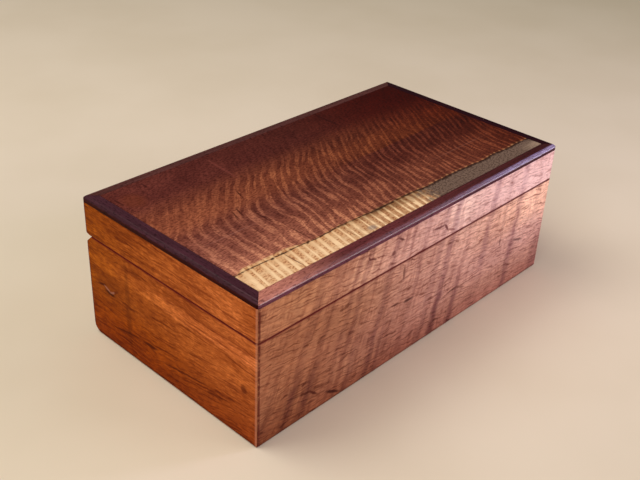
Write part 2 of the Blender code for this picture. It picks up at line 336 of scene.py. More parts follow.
# Small flaws of the front board
front_marks_mm = (
    ((-57.5, 93.6), (1.9, 0.8), -0.9, "6A3634", 0.8),
    ((-54, 92), (3.2, 0.7), -0.4, "6A3634", 0.85),
    ((-34.2, 88), (1.9, 1.6), 0.0, "6A3638", 0.75),
    ((-27.6, 95.7), (3.4, 0.8), -0.55, "5E2C30", 0.9),
    ((12, 88.3), (6.4, 0.9), -0.05, "70383E", 0.9),
    ((20, 85.6), (3.8, 0.9), -0.95, "70383E", 0.9),
    ((26, 81.6), (4.4, 0.8), -0.35, "84484A", 0.75),
    ((-27.4, 45.8), (4.4, 0.9), -0.12, "5A2824", 0.8),
    ((-14.6, 43.6), (4.6, 1.1), -0.05, "4E2024", 0.85),
    ((35.5, 28), (5.5, 0.8), 0.08, "5A2020", 0.8),
    ((45.5, 26.6), (5.5, 0.9), -0.35, "6E3430", 0.6),
    ((-21.6, 68), (1.2, 5.0), 0.0, "6A3A34", 0.7),
    ((114.8, 37.6), (6.5, 0.9), -0.28, "5A2C3C", 0.75),
    ((91, 45.1), (0.9, 3.4), 0.1, "6A3434", 0.6),
    ((-103, 15.9), (4.6, 0.9), -0.7, "5A1C18", 0.85),
    ((-85, 6.6), (6.6, 1.2), -0.46, "481418", 0.9),
    ((-120.8, 21.6), (6.0, 0.6), -0.25, "5A2A22", 0.6),
)

# Broad pale and deep clouds of the front board
front_pale_mm = (((-112, 92), (17, 14)), ((-62, 92), (15, 14)), ((38, 92), (17, 14)), ((-62, 12), (18, 15)))
front_deep_mm = (((-68, 62), (34, 14)), ((82, 16), (62, 10)))


def shaded_and_glued(tree, colour, place, side):
    """Paint shade on a board towards its foot, at its foot's edge, along the seam and under the lid's rail,
    and show the glue in its mitre.
    """
    half_length, reach = (size / mm for size in board_reach(side))
    along, inwards, up = put(tree, "SeparateXYZ", {0: place}).outputs
    outside = zone(tree, (inwards, 0.9 - reach, 0.5 - reach))
    mitre_edge = 1 - half_length
    # Painted shade: the board darkens towards its foot, and more on the foot's rounded edge
    foot = height_curve(tree, up, 0, board_top_mm, board_foot_shade_mm)
    foot_shaded = tinted(tree, colour, ((0.42, 0.26, 0.22), foot))
    foot_edge_shaded = tinted(tree, foot_shaded, ((0.4, 0.3, 0.26), zone(tree, (up, 3.2, 0.4)), 0.8))
    # Painted shade: a dark line in the seam's gap and a soft shadow just below the lid's rail
    from_seam = put(tree, "Math", {0: up, 1: seam_height_mm}, operation="SUBTRACT")
    beside = put(tree, "Math", {0: from_seam}, operation="ABSOLUTE")
    seam_shaded = layered(tree, foot_edge_shaded, (linear("6A1C1E"), zone(tree, (beside, 1.25, 0.4)), outside, 0.9))
    below_seam = product(tree, zone(tree, (from_seam, -3.2, -0.4)), outside, 0.35)
    shaded = tinted(tree, seam_shaded, ((0.5, 0.36, 0.34), below_seam))
    edge = zone(tree, (along, mitre_edge + 1.3, mitre_edge + 0.9), (along, mitre_edge - 0.4, mitre_edge))
    dashes = grain(tree, place, (3, 3, 2.2), 0.34, 0.48, shift=23)
    return layered(tree, shaded,
                   (linear("5E241C"), edge, put(tree, "MapRange", {"Value": dashes, "To Min": 0.25}), 0.85))


def band_points(level):
    """Points of the curve that draws the front board's bands, at its head (0) or its foot (1)."""
    points = [(bands_from_mm, 0.0)]
    for middle, half_width, *strengths in front_bands_mm:
        reach = band_softness * half_width
        points += [(middle - reach, 0.0), (middle, strengths[level]), (middle + reach, 0.0)]
    return sorted(points)


def cherry_front(colours, name, side):
    """Figured cherry, planed, sanded and oiled: pinkish brown, with dark cross bands and ripples."""
    material, tree, shader = new_material(name)
    place = board_place(tree, side)
    wandering = wavering(tree, place, (26, 40, 22), (7, 0, 3))
    along, _, up = put(tree, "SeparateXYZ", {0: wandering}).outputs

    # Bands lean to the right going up, more at the left end than at the right
    height = put(tree, "Math", {0: up, 1: front_band_height_mm}, operation="SUBTRACT")
    lean = put(tree, "MapRange",
               {"Value": along, "From Min": -140, "From Max": 110, "To Min": 0.38, "To Max": 0.1})
    shift = product(tree, height, lean)
    across = put(tree, "Math", {0: along, 1: shift}, operation="SUBTRACT")
    at_head, at_foot = (height_curve(tree, across, bands_from_mm, bands_to_mm, band_points(level))
                        for level in (0, 1))
    whole_bands = put(tree, "Mix", {"Factor": zone(tree, (up, 22, 48)), "A": at_foot, "B": at_head},
                      data_type="FLOAT")
    broken = grain(tree, wandering, (7, 30, 8), 0.34, 0.62, detail=3, shift=3)
    bands = product(tree, whole_bands, put(tree, "MapRange", {"Value": broken, "To Min": 0.6}))

    # Ripples run along the board as thin wavy lines, broken into lengths; pores are finer
    waving = wavering(tree, place, (11, 20, 8), (0, 0, 3.4), shift=7)
    trembling = wavering(tree, waving, (4, 20, 3), (0, 0, 1.4), shift=77)
    sloped = put(tree, "Mapping", {"Vector": trembling, "Rotation": (0, -0.09, 0)})
    drift = grain(tree, sloped, (30, 20, 6), 0.25, 0.75, shift=53)
    turns = put(tree, "Math",
                {0: put(tree, "SeparateXYZ", {0: sloped}).outputs["Z"], 1: 1 / ripple_spacing_mm,
                 2: product(tree, drift, 1.4)}, operation="MULTIPLY_ADD")
    swell = swing_of(tree, turns)
    lengths = grain(tree, sloped, (11, 20, 2.8), 0.42, 0.58, shift=57)
    ripples = product(tree, zone(tree, (swell, 0.5, 0.92)), lengths)
    lights = product(tree, zone(tree, (swell, 0.2, -0.7)),
                     grain(tree, sloped, (8, 20, 3), 0.36, 0.6, shift=41))
    pores = grain(tree, sloped, (4.0, 6, 0.9), 0.48, 0.68, detail=1, shift=11)
    leaning = put(tree, "CombineXYZ", {"X": across, "Z": up})
    faint_bands = grain(tree, leaning, (5, 30, 40), 0.44, 0.68, shift=71)
    crossing = product(tree, grain(tree, leaning, (1.7, 30, 8), 0.5, 0.68, shift=73),
                       grain(tree, place, (26, 40, 14), 0.42, 0.6, shift=75))
    clouds = grain(tree, place, (45, 60, 24), 0.3, 0.7, shift=17)
    gathered = put(tree, "MapRange",
                   {"Value": grain(tree, place, (30, 40, 16), 0.35, 0.65, shift=19), "To Min": 0.55})
    on_lid = zone(tree, (up, seam_height_mm, seam_height_mm + 1))
    calm = put(tree, "MapRange",
               {"Value": product(tree, on_lid, zone(tree, (along, -20, 130))), "To Min": 1, "To Max": 0.6})

    # Pale pink towards the right: partly the board's own tone, partly painted sheen
    base = layered(tree, colours.front_left, (colours.front_right, zone(tree, (along, -135, 135))))
    lit = tinted(tree, base, ((0.7, 0.6, 0.56), clouds, 0.5))
    lighter = tinted(tree, lit, ((1.26, 1.28, 1.25), lights, calm, 0.85))
    banded = tinted(tree, lighter, ((0.46, 0.35, 0.44), bands, calm))
    fewer = put(tree, "MapRange", {"Value": zone(tree, (along, -10, 110)), "To Min": 0.8, "To Max": 0.35})
    belted = tinted(tree, banded, ((0.7, 0.6, 0.62), faint_bands, fewer))
    crossed = tinted(tree, belted, ((0.6, 0.48, 0.48), crossing, calm, 0.7))
    rippled = tinted(tree, crossed, ((0.44, 0.3, 0.29), ripples, gathered, calm, 0.95))
    pored = tinted(tree, rippled, ((0.62, 0.48, 0.46), pores, 0.55))

    # Broad zones: painted sheen on the lid's rail towards the right and on the head of the body at the
    # right, and a paler foot at the left
    sheen_on_head = zone(tree, (up, seam_height_mm, seam_height_mm - 1), (up, 40, 62), (along, 0, 140))
    low_left = zone(tree, (along, -50, -130), (up, 45, 15))
    zoned = tinted(tree, pored, ((1.14, 1.22, 1.34), on_lid, zone(tree, (along, -150, 0))))
    zoned = tinted(tree, zoned, ((1.28, 1.3, 1.12), sheen_on_head))
    zoned = tinted(tree, zoned, ((1.12, 1.24, 1.24), low_left))
    paler = clouded(tree, zoned, place, (1.2, 1.32, 1.28), *front_pale_mm)
    deeper = clouded(tree, paler, place, (0.86, 0.83, 0.76), *front_deep_mm)
    wobbly = wavering(tree, place, (3, 5, 2), (0, 0, 1.4), shift=5)
    flawed = with_marks(tree, deeper, wobbly, front_marks_mm if side == "front" else ())
    whole = shaded_and_glued(tree, flawed, place, side)
    surfaced(tree, shader, whole, put(tree, "MapRange", {"Value": ripples, "To Min": 0.4, "To Max": 0.5}),
             0.05)
    pitted(tree, shader, pores, 0.05, 0.5)
    return material


# Flaws of the left end board: a scar shaped like a shallow V in a dark hollow, knots and streaks
left_marks_mm = (
    ((-58.5, 46.6), (13, 8), 0.2, "6A2606", 0.45),
    ((-67.4, 44.4), (4.2, 0.9), 0.3, "4A1408", 0.8),
    ((-59, 40.9), (5.2, 1.1), -0.1, "3A0E04", 0.8),
    ((-52.6, 44.6), (3.2, 1.0), 0.55, "5A1C0A", 0.6),
    ((-62, 43.2), (3.4, 0.8), -0.42, "BC8270", 0.9),
    ((-56.4, 42.6), (2.4, 0.75), 0.4, "BC8270", 0.85),
    ((70.5, 38.4), (2.2, 3.0), 0.3, "5E1C06", 0.65),
    ((-39.8, 39.7), (2.6, 34), 0.0, "6A2C06", 0.4),
    ((-18.1, 20.7), (6.5, 1.4), 0.02, "521404", 0.8),
    ((-44.6, 17.6), (13, 0.8), 0.19, "521404", 0.75),
    ((15.4, 17.9), (22, 0.8), 0.16, "5E1C06", 0.7),
    ((46.9, 18.8), (10, 0.8), 0.2, "5E1C06", 0.6),
)


def cherry_end(colours, name, side):
    """Cherry cut along the grain, sanded and oiled: deep orange, with flowing dark streaks."""
    material, tree, shader = new_material(name)
    place = board_place(tree, side)
    along, _, up = put(tree, "SeparateXYZ", {0: place}).outputs

    # The grain fans upwards towards the right below the board's lighter band
    fan = product(tree, zone(tree, (along, -30, 90), (up, 70, 20)), -14)
    shift = put(tree, "CombineXYZ", {"Z": fan})
    fanned = put(tree, "VectorMath", {0: place, 1: shift}, operation="ADD")
    flowing = wavering(tree, fanned, (36, 30, 18), (0, 0, 7), shift=2)
    shaking = wavering(tree, flowing, (6, 10, 4), (0, 0, 1.3), shift=3)
    streaks = grain(tree, shaking, (34, 20, 1.8), 0.52, 0.7, detail=3, shift=4)
    lines = grain(tree, shaking, (6, 12, 1.0), 0.46, 0.62, shift=9)
    lights = grain(tree, shaking, (3.5, 12, 1.2), 0.48, 0.64, shift=33)
    clouds = grain(tree, flowing, (40, 40, 12), 0.34, 0.66, detail=3, shift=14)
    fire = grain(tree, flowing, (4, 20, 7), 0.46, 0.7, detail=3, shift=19)

    board = layered(tree, colours.end_far, (colours.end_wood, zone(tree, (along, -95, 80))))
    shaded = tinted(tree, board, ((0.6, 0.46, 0.3), clouds, 0.6))
    fiery = tinted(tree, shaded, ((1.35, 1.45, 1.5), fire, 0.45))
    lighter = tinted(tree, fiery, ((1.4, 1.55, 1.8), lights, 0.6))
    streaked = tinted(tree, lighter, ((0.42, 0.26, 0.2), streaks, 0.75))
    lined = tinted(tree, streaked, ((0.5, 0.36, 0.3), lines, 0.6))
    if side == "left":
        bending = wavering(tree, place, (40, 9, 9), (0, 0, 8), shift=61)
        band_up = put(tree, "SeparateXYZ", {0: bending}).outputs["Z"]
        light_band = product(tree, zone(tree, (band_up, 55.5, 59), (band_up, 69, 64)), 0.8)
        lined = tinted(tree, lined, ((1.5, 1.7, 2.2), light_band))
        golden = zone(tree, (along, 40, -50), (up, 44, 20))
        lined = tinted(tree, lined, ((1.28, 1.22, 0.5), golden))
        wobbly = wavering(tree, place, (5, 5, 4), (2, 0, 1.6), shift=5)
        lined = with_marks(tree, lined, wobbly, left_marks_mm)
    lighter_belt = clouded(tree, lined, place, (1.2, 1.3, 1.2), ((8, 40), (80, 15)))
    deep_foot = clouded(tree, lighter_belt, place, (1.0, 0.95, 0.45), ((-14, 6), (95, 20)))
    whole = shaded_and_glued(tree, deep_foot, place, side)
    # The rounded front corner is paler: partly its sanded end grain, partly a painted highlight
    eased = zone(tree, (along, 79.8, 80.8))
    pale = layered(tree, whole, (linear("D08E74"), eased, 0.5))
    surfaced(tree, shader, pale, 0.5, 0.03)
    pitted(tree, shader, lines, 0.04, 0.4)
    return material


# How far the panel's stripes lean to the right at its left end, its middle and its right end: place
# across the board, and lean
panel_lean_left_mm = ((-74, 0), (-56, 0.5), (-29, 2), (-5, 4), (5, 12), (25, 27), (45, 40), (74, 56))
panel_lean_middle_mm = ((-74, 0), (-56, 0.5), (-42, 5), (-30, 9), (-18, 10.5), (-8, 12), (0, 16), (10, 22),
                        (22, 31), (36, 44), (74, 66))
panel_lean_right_mm = ((-74, 0), (-60, 0.5), (-37, 3), (-1, 18.5), (25, 33), (45, 47), (74, 64))
panel_edge_mm = 74
panel_crowding = 0.000165

# How strongly the light stripes and the dark hollows show: place across the board, and strength
panel_stripes_mm = ((-74, 1), (-50, 1), (-30, 0.9), (-8, 0.8), (2, 0.7), (14, 0.7), (24, 0.6), (32, 0.25),
                    (48, 0.12), (74, 0.08))
panel_hollows_mm = ((-74, 0.3), (-45, 0.4), (-25, 0.6), (-8, 0.9), (-3, 1), (3, 0.6), (12, 0.3),
                    (22, 0.5), (28, 0.95), (36, 0.3), (48, 0.12), (74, 0.06))

# Flaws of the panel: fine cracks, dark and light lines, an orange patch and faint scratches
panel_marks_mm = (
    ((-138.7, 58.6), (0.8, 5.0), 0.0, "300C0C", 0.8),
    ((-112.9, 65.7), (0.7, 3.0), 0.0, "300C0C", 0.8),
    ((-130.4, 54), (7.5, 9.0), 0.0, "7A3A1C", 0.3),
    ((-59.2, 51.1), (1.1, 16), -0.06, "84443A", 0.35),
    ((53, 59.5), (1.2, 14), 0.0, "2A0808", 0.6),
    ((89.5, -36.7), (30, 0.4), 0.0, "A87060", 0.2),
    ((-111.6, -18.1), (18, 0.35), 0.0, "B88070", 0.3),
    ((-74.8, 16.1), (0.6, 5.5), -0.3, "38100C", 0.8),
    ((-90.3, -0.7), (0.6, 5.0), -0.3, "38100C", 0.8),
    ((-95.3, -2.7), (0.6, 4.5), -0.3, "38100C", 0.75),
    ((-83.8, -15.2), (0.6, 8.5), 0.0, "38100C", 0.7),
    ((-80.4, -42.9), (0.5, 8.0), 0.0, "38100C", 0.6),
)


def panel_heartwood(tree, colours, sizes, flat):
    """The panel's red heartwood, and the wave of its stripes."""
    wandering = wavering(tree, flat, (30, 40, 30), (5, 4, 0), shift=1)
    shivering = wavering(tree, wandering, (7, 9, 10), (1.3, 0, 0), shift=6)
    ragged = wavering(tree, shivering, (2.4, 1.8, 10), (0.6, 0, 0), shift=16)
    long_way, cross_way, _ = put(tree, "SeparateXYZ", {0: wandering}).outputs
    lean_left, lean_middle, lean_right, shown_stripes, shown_hollows = (
        height_curve(tree, cross_way, -panel_edge_mm, panel_edge_mm, points)
        for points in (panel_lean_left_mm, panel_lean_middle_mm, panel_lean_right_mm,
                       panel_stripes_mm, panel_hollows_mm)
    )
    near_half = put(tree, "Mix",
                    {"Factor": zone(tree, (long_way, -120, -50)), "A": lean_left, "B": lean_middle},
                    data_type="FLOAT")
    lean = put(tree, "Mix", {"Factor": zone(tree, (long_way, -10, 100)), "A": near_half, "B": lean_right},
               data_type="FLOAT")
    upright = put(tree, "Math", {0: put(tree, "SeparateXYZ", {0: ragged}).outputs["X"], 1: lean},
                  operation="SUBTRACT")
    stripe_place = put(tree, "CombineXYZ", {"X": upright, "Y": cross_way})

    # The stripes: a wave whose crests split and fade as the noise says
    pace = 1 / (sizes.stripe_spacing / mm)
    crowding = put(tree, "Math", {0: upright, 1: panel_crowding, 2: pace}, operation="MULTIPLY_ADD")
    drift = grain(tree, stripe_place, (15, 70, 50), 0.2, 0.8, shift=8)
    wave = swing_of(tree, put(tree, "Math", {0: upright, 1: crowding, 2: drift}, operation="MULTIPLY_ADD"))
    splits = grain(tree, stripe_place, (1.5, 13, 50), 0.25, 0.75, shift=43)
    fading = grain(tree, stripe_place, (9, 15, 50), 0.3, 0.7, shift=12)
    split_wave = put(tree, "Math", {0: splits, 1: 1.5, 2: wave}, operation="MULTIPLY_ADD")
    figured_wave = put(tree, "Math", {0: fading, 1: 1.2, 2: split_wave}, operation="MULTIPLY_ADD")
    crests = zone(tree, (figured_wave, 1.8, 2.1))
    hollows = zone(tree, (wave, 0.25, -0.6))
    patches = grain(tree, stripe_place, (6, 9, 50), 0.38, 0.58, detail=3, shift=15)
    lines = product(tree, crests, shown_stripes)
    dark_bands = product(tree, hollows, shown_hollows,
                         put(tree, "MapRange", {"Value": patches, "To Min": 0.3}))
    threads = grain(tree, stripe_place, (0.9, 16, 50), 0.46, 0.68, shift=21)
    dashes = grain(tree, flat, (2.8, 1.0, 10), 0.4, 0.66, shift=25)
    clouds = grain(tree, flat, (24, 15, 30), 0.3, 0.7, detail=3, shift=27)

    # Zones across the board: plain and dark at the back, orange half way, redder in front
    zone_place = put(tree, "SeparateXYZ",
                     {0: wavering(tree, flat, (5, 3, 9), (0, 5, 0), shift=47)}).outputs["Y"]
    back_zone = zone(tree, (zone_place, 20, 50))
    front_of_break = zone(tree, (cross_way, 0.3, -1.2))
    middle_zone = zone(tree, (zone_place, -16, 12))
    step = put(tree, "Mix",
               {"Factor": zone(tree, (long_way, -20, 60)), "A": middle_zone,
                "B": put(tree, "Math", {0: 1, 1: front_of_break}, operation="SUBTRACT")}, data_type="FLOAT")
    # The panel darkens from left to right: partly its own tone, partly painted light that falls off to the
    # right, with painted sheen at the left
    base = layered(tree, colours.panel_near,
                   (colours.panel_far,
                    put(tree, "MapRange", {"Value": long_way, "From Min": -150, "From Max": 150})))
    orange = tinted(tree, base, ((1.0, 0.86, 0.6), step, 0.9))
    belt = zone(tree, (cross_way, -1.2, 0.3), (cross_way, 28, 14), (long_way, -20, 60))
    glowing = tinted(tree, orange, ((1.06, 1.02, 0.88), belt, 0.9))
    hollow = product(tree, front_of_break, zone(tree, (cross_way, -38, -14), (long_way, -30, 50)))
    sunk = tinted(tree, glowing, ((0.76, 0.58, 0.6), hollow, 0.8))
    bright_front = zone(tree, (cross_way, -8, -40), (long_way, 0, 110))
    brighter = tinted(tree, sunk, ((1.25, 1.25, 1.15), bright_front))
    back_shade = layered(tree, (0.46, 0.36, 0.56), ((0.54, 0.22, 0.22), zone(tree, (long_way, 0, 150))))
    plain = tinted(tree, brighter, (back_shade, back_zone))
    cloudy = tinted(tree, plain, ((0.66, 0.58, 0.62), clouds, 0.75))
    # Painted sheen over the wood's own paler tone: the panel's front at the left is paler and pinker
    blush = product(tree, zone(tree, (cross_way, -24, -50), (long_way, 0, -110)), 0.8)
    sheen_blushed = tinted(tree, cloudy, ((1.65, 1.95, 1.95), blush))
    banded = tinted(tree, sheen_blushed, ((0.52, 0.42, 0.48), dark_bands, 0.85))
    leftwards = zone(tree, (long_way, -40, -120))
    quiet = put(tree, "MapRange",
                {"Value": zone(tree, (cross_way, -6, 12)), "To Min": 0.45, "To Max": 0.12})
    shown = put(tree, "Mix", {"Factor": leftwards, "A": 0.85, "B": quiet}, data_type="FLOAT")
    striped = tinted(tree, banded, ((1.9, 2.3, 2.1), lines, shown))
    threaded = tinted(tree, striped, ((0.6, 0.5, 0.5), threads, 0.5))
    dashed = toned(tree, threaded, (0.62, 0.54, 0.56), (1.25, 1.3, 1.3), dashes)
    return dashed, wave, dashes


# The sapwood's edge across the board at the middle of the box, its slope, and its columns' spacing
sapwood_edge_mm = -57.5
sapwood_slope = -0.029
column_spacing_mm = 5.8


def panel_sapwood(tree, colours, flat, red, wave):
    """Lay the pale sapwood along the panel's front edge over its red wood."""
    swaying = wavering(tree, flat, (20, 9, 10), (0, 3.6, 0), shift=33)
    fray = wavering(tree, swaying, (4, 5, 10), (0, 1.6, 0), shift=31)
    along, frayed, _ = put(tree, "SeparateXYZ", {0: fray}).outputs
    edge = put(tree, "Math", {0: along, 1: sapwood_slope, 2: sapwood_edge_mm}, operation="MULTIPLY_ADD")
    depth = put(tree, "Math", {0: edge, 1: frayed}, operation="SUBTRACT")
    line_width = put(tree, "MapRange",
                     {"Value": along, "From Min": -70, "From Max": 30, "To Min": 0.95, "To Max": 2.0})
    line_end = put(tree, "Math", {0: depth, 1: line_width}, operation="DIVIDE")
    beads = grain(tree, flat, (3.0, 6, 10), 0.34, 0.52, shift=29)
    line = product(tree, zone(tree, (depth, -0.7, 0.0), (line_end, 1.2, 0.5)),
                   put(tree, "MapRange", {"Value": beads, "To Min": 0.4}))

    # Left of the middle the pale wood runs on a little behind the dark line
    tongue = product(tree, zone(tree, (along, -142, -132), (along, -84, -98)), 3.4)
    behind = put(tree, "Math", {0: depth, 1: tongue}, operation="ADD")
    sap = put(tree, "Math", {0: zone(tree, (depth, -0.2, 0.4)), 1: zone(tree, (behind, -0.6, 1.6))},
              operation="MAXIMUM")
    crest = zone(tree, (wave, 0.1, 0.8))
    glow = product(tree, zone(tree, (depth, -2.2, -0.6), (depth, 0.2, -0.2)),
                   put(tree, "MapRange", {"Value": crest, "To Min": 0.12}))

    # Columns of dark dashes between pale lines that lean a little to the right
    leaning = put(tree, "Math", {0: depth, 1: 0.2, 2: along}, operation="MULTIPLY_ADD")
    column_place = put(tree, "CombineXYZ", {"X": leaning})
    drift = grain(tree, column_place, (9, 50, 50), 0.2, 0.8, shift=8)
    swing = swing_of(tree,
                     put(tree, "Math", {0: leaning, 1: 1 / column_spacing_mm, 2: product(tree, drift, 0.9)},
                         operation="MULTIPLY_ADD"))
    widths = grain(tree, flat, (3, 5, 10), 0.3, 0.7, shift=51)
    pale_lines = zone(tree,
                      (put(tree, "Math", {0: widths, 1: 0.9, 2: swing}, operation="MULTIPLY_ADD"), 0.8,
                       1.35))
    specks = grain(tree, flat, (1.8, 1.1, 10), 0.45, 0.6, shift=36)
    patchy = put(tree, "MapRange",
                 {"Value": grain(tree, flat, (8, 5, 10), 0.32, 0.6, shift=44), "To Min": 0.3})
    between = product(tree, zone(tree, (swing, 0.6, -0.5)), patchy)
    columns = product(tree, specks, between)
    darker = put(tree, "Math", {0: 1, 1: pale_lines}, operation="SUBTRACT")
    spalted = zone(tree, (put(tree, "Math", {0: widths, 1: 14, 2: along}, operation="MULTIPLY_ADD"), 14, 32))
    depth_shade = put(tree, "MapRange",
                      {"Value": depth, "From Min": 0, "From Max": 11, "To Min": 1, "To Max": 0.35})
    tan = put(tree, "MapRange", {"Value": zone(tree, (along, -90, -20)), "To Min": 0.25})
    creamy = tinted(tree, colours.sapwood, ((0.64, 0.55, 0.5), darker, tan))
    shaded = tinted(tree, creamy, ((0.66, 0.5, 0.36), depth_shade, 0.7))
    tinged = tinted(tree, shaded, ((0.9, 0.78, 0.7), between, darker))
    dashed = tinted(tree, tinged, ((0.5, 0.33, 0.26), columns, darker, 0.9))
    grey_specks = toned(tree, colours.spalt, (0.62, 0.58, 0.56), (1.22, 1.24, 1.26), specks)
    stain_width = put(tree, "MapRange",
                      {"Value": along, "From Min": -70, "From Max": 20, "To Min": 3, "To Max": 12})
    stain_depth = put(tree, "Math", {0: depth, 1: stain_width}, operation="DIVIDE")
    stain = product(tree, zone(tree, (stain_depth, 1.0, 0.3), (along, -72, -30)), 0.7)
    stained = tinted(tree, dashed, ((0.4, 0.36, 0.32), stain))
    grey = layered(tree, stained, (grey_specks, spalted))
    tip = product(tree, zone(tree, (along, 118, 142), (depth, 3, 8)), 0.3)
    tipped = layered(tree, grey, (linear("D8BCA0"), tip))
    glowing = layered(tree, red, (linear("C08A5C"), glow, 0.65))
    whole = layered(tree, glowing, (tipped, sap))
    return layered(tree, whole, (linear("2A120C"), line, 0.88))


# Flaws of the sapwood: knots on its dark line, a crack, a grey spot and a stain
sapwood_marks_mm = (
    ((-113.4, -55.1), (1.3, 0.8), 0.2, "3A160C", 0.8),
    ((-104.7, -54.3), (1.1, 0.9), 0.0, "3A160C", 0.8),
    ((-84.8, -55.7), (2.2, 0.8), 0.6, "3A160C", 0.85),
    ((-104.7, -64.6), (0.45, 9.0), 0.0, "6A4028", 0.8),
    ((-57.4, -65.6), (0.4, 7.0), 0.0, "7A5034", 0.5),
    ((-43, -70.1), (3.4, 2.4), 0.0, "8E847C", 0.6),
    ((-24.1, -57.3), (6.0, 1.6), 0.0, "33241A", 0.6),
)


def fiddleback_panel(colours, sizes):
    """Fiddleback hardwood with its sapwood left on, sanded and oiled: stripes cross the board."""
    material, tree, shader = new_material("fiddleback_panel_oiled")
    place = board_place(tree, "front")
    flat = put(tree, "VectorMath", {0: place, 1: (1, 1, 0)}, operation="MULTIPLY")
    red, wave, dashes = panel_heartwood(tree, colours, sizes, flat)
    across, inwards, _ = put(tree, "SeparateXYZ", {0: flat}).outputs
    from_above = put(tree, "CombineXYZ", {"X": across, "Z": inwards})
    wobbly = wavering(tree, from_above, (3, 3, 3), (1.0, 0, 0.6), shift=5)
    deep_right = clouded(tree, red, from_above, (0.95, 0.55, 0.58), ((140, 66), (64, 44)))
    dark_belt = clouded(tree, deep_right, from_above, (0.86, 0.8, 0.76), ((15, -13), (120, 16)))
    pale_belt = clouded(tree, dark_belt, from_above, (1.12, 1.1, 1.0), ((-35, -42), (90, 15)))
    flawed = with_marks(tree, pale_belt, wobbly, panel_marks_mm)
    whole = with_marks(tree, panel_sapwood(tree, colours, flat, flawed, wave), wobbly, sapwood_marks_mm)
    surfaced(tree, shader, whole, 0.48, 0.03)
    pitted(tree, shader, dashes, 0.04, 0.4)
    return material


# How strongly each side of the edging shines: flat, on its chamfer and on the chamfer's lower edge
edging_finishes = ("waxed", "buffed", "polished")
edging_shine = {"front": (0.03, 0.3, 0.6), "left": (0.03, 0.1, 0.12), "back": (0.03, 0.1, 0.1),
                "right": (0.01, 0.05, 0.05)}


def rosewood_edging(colours, side, finish, shine):
    """Rosewood, waxed, and polished along its chamfer: dark purple brown, with short open pores."""
    material, tree, shader = new_material(f"rosewood_{side}_{finish}")
    place = board_place(tree, side)
    along, _, up = put(tree, "SeparateXYZ", {0: place}).outputs
    flowing = wavering(tree, place, (50, 12, 12), (0, 1.2, 1.2), shift=3)
    streaks = grain(tree, flowing, (30, 1.3, 1.3), 0.4, 0.66, detail=3, shift=5)
    pores = grain(tree, flowing, (2.6, 0.8, 0.8), 0.54, 0.68, detail=1, shift=9)
    # One wood on every side; each side's colour is partly painted light and shade
    near = {"front": colours.edging, "left": colours.edging_left, "back": colours.edging_back,
            "right": colours.edging_right}[side]
    wood = layered(tree, near,
                   (colours.edging_far if side == "front" else near, zone(tree, (along, -50, 130))))
    streaked = tinted(tree, wood, ((1.7, 1.7, 1.7), streaks, 0.6))
    if side == "front":
        blush = grain(tree, flowing, (5, 1.6, 1.6), 0.3, 0.62, detail=3, shift=13)
        pale = product(tree, zone(tree, (along, -70, -135), (up, 102.6, 103.4)),
                       put(tree, "MapRange", {"Value": blush, "To Min": 0.6}))
        streaked = layered(tree, streaked, (colours.edging_pale, pale))
    pored = tinted(tree, streaked, ((0.3, 0.2, 0.2), pores, 0.7))
    # Painted light on the upright face below the chamfer: bluish light on the front, shade on the other
    # sides; its top edge wavers like a worn edge
    wavy_face_edge = put(tree, "SeparateXYZ",
               {0: wavering(tree, place, (6, 6, 6), (0, 0, 1.6), shift=17)}).outputs["Z"]
    face_light_tint = {"front": (1.1, 1.5, 2.2), "left": (0.6, 0.12, 0.08)}.get(side, (0.5, 0.3, 0.3))
    whole = tinted(tree, pored, (face_light_tint, zone(tree, (wavy_face_edge, 103.5, 102.9))))
    # Painted highlight: a mottled lavender on the front chamfer towards the right
    if side == "front" and finish != "waxed":
        highlight_mottle = grain(tree, flowing, (7, 1.2, 1.2), 0.36, 0.62, detail=3, shift=27)
        chamfer_highlight = product(tree, put(tree, "MapRange", {"Value": highlight_mottle, "To Min": 0.3}),
                        zone(tree, (along, 0, 140)))
        whole = layered(tree, whole, (linear("9484B6"), chamfer_highlight, 0.6))
    surfaced(tree, shader, whole, 0.36, shine)
    pitted(tree, shader, pores, 0.04, 0.3)
    return material


def birch_plywood(colours):
    """Birch plywood, rotary cut and sanded: pale, with faint wide figure and short pores."""
    material, tree, shader = new_material("birch_plywood_sanded")
    place = board_place(tree, "front")
    flowing = wavering(tree, place, (60, 50, 30), (0, 14, 0), shift=2)
    figure = grain(tree, flowing, (90, 6, 40), 0.4, 0.62, detail=3, shift=4)
    pores = grain(tree, place, (5, 0.5, 5), 0.56, 0.7, detail=1, shift=8)
    figured = layered(tree, colours.plywood, (linear("A67C50"), figure, 0.5))
    pored = layered(tree, figured, (linear("7E5A36"), pores, 0.5))
    surfaced(tree, shader, pored, 0.62)
    pitted(tree, shader, pores, 0.05, 0.5)
    return material


def wool_felt(colours):
    """Wool felt, pressed: matt, mottled, with a soft nap; its fibres are drawn coarser than real."""
    material, tree, shader = new_material("wool_felt_pressed")
    place = board_place(tree, "front")
    clumps = grain(tree, place, (5, 5, 5), 0.35, 0.65, detail=4, shift=3)
    fibres = grain(tree, wavering(tree, place, (3, 3, 3), (3, 3, 3)), (1.6, 0.35, 1), 0.4, 0.66)
    mottled = layered(tree, colours.felt, (linear("50584A"), clumps, 0.5))
    fibrous = layered(tree, mottled, (linear("6C7464"), fibres, 0.35))
    surfaced(tree, shader, fibrous, 0.95, 0.1)
    shader.inputs["Sheen Weight"].default_value = 0.25
    pimpled(tree, shader, fibres, 0.25, 0.6)
    return material


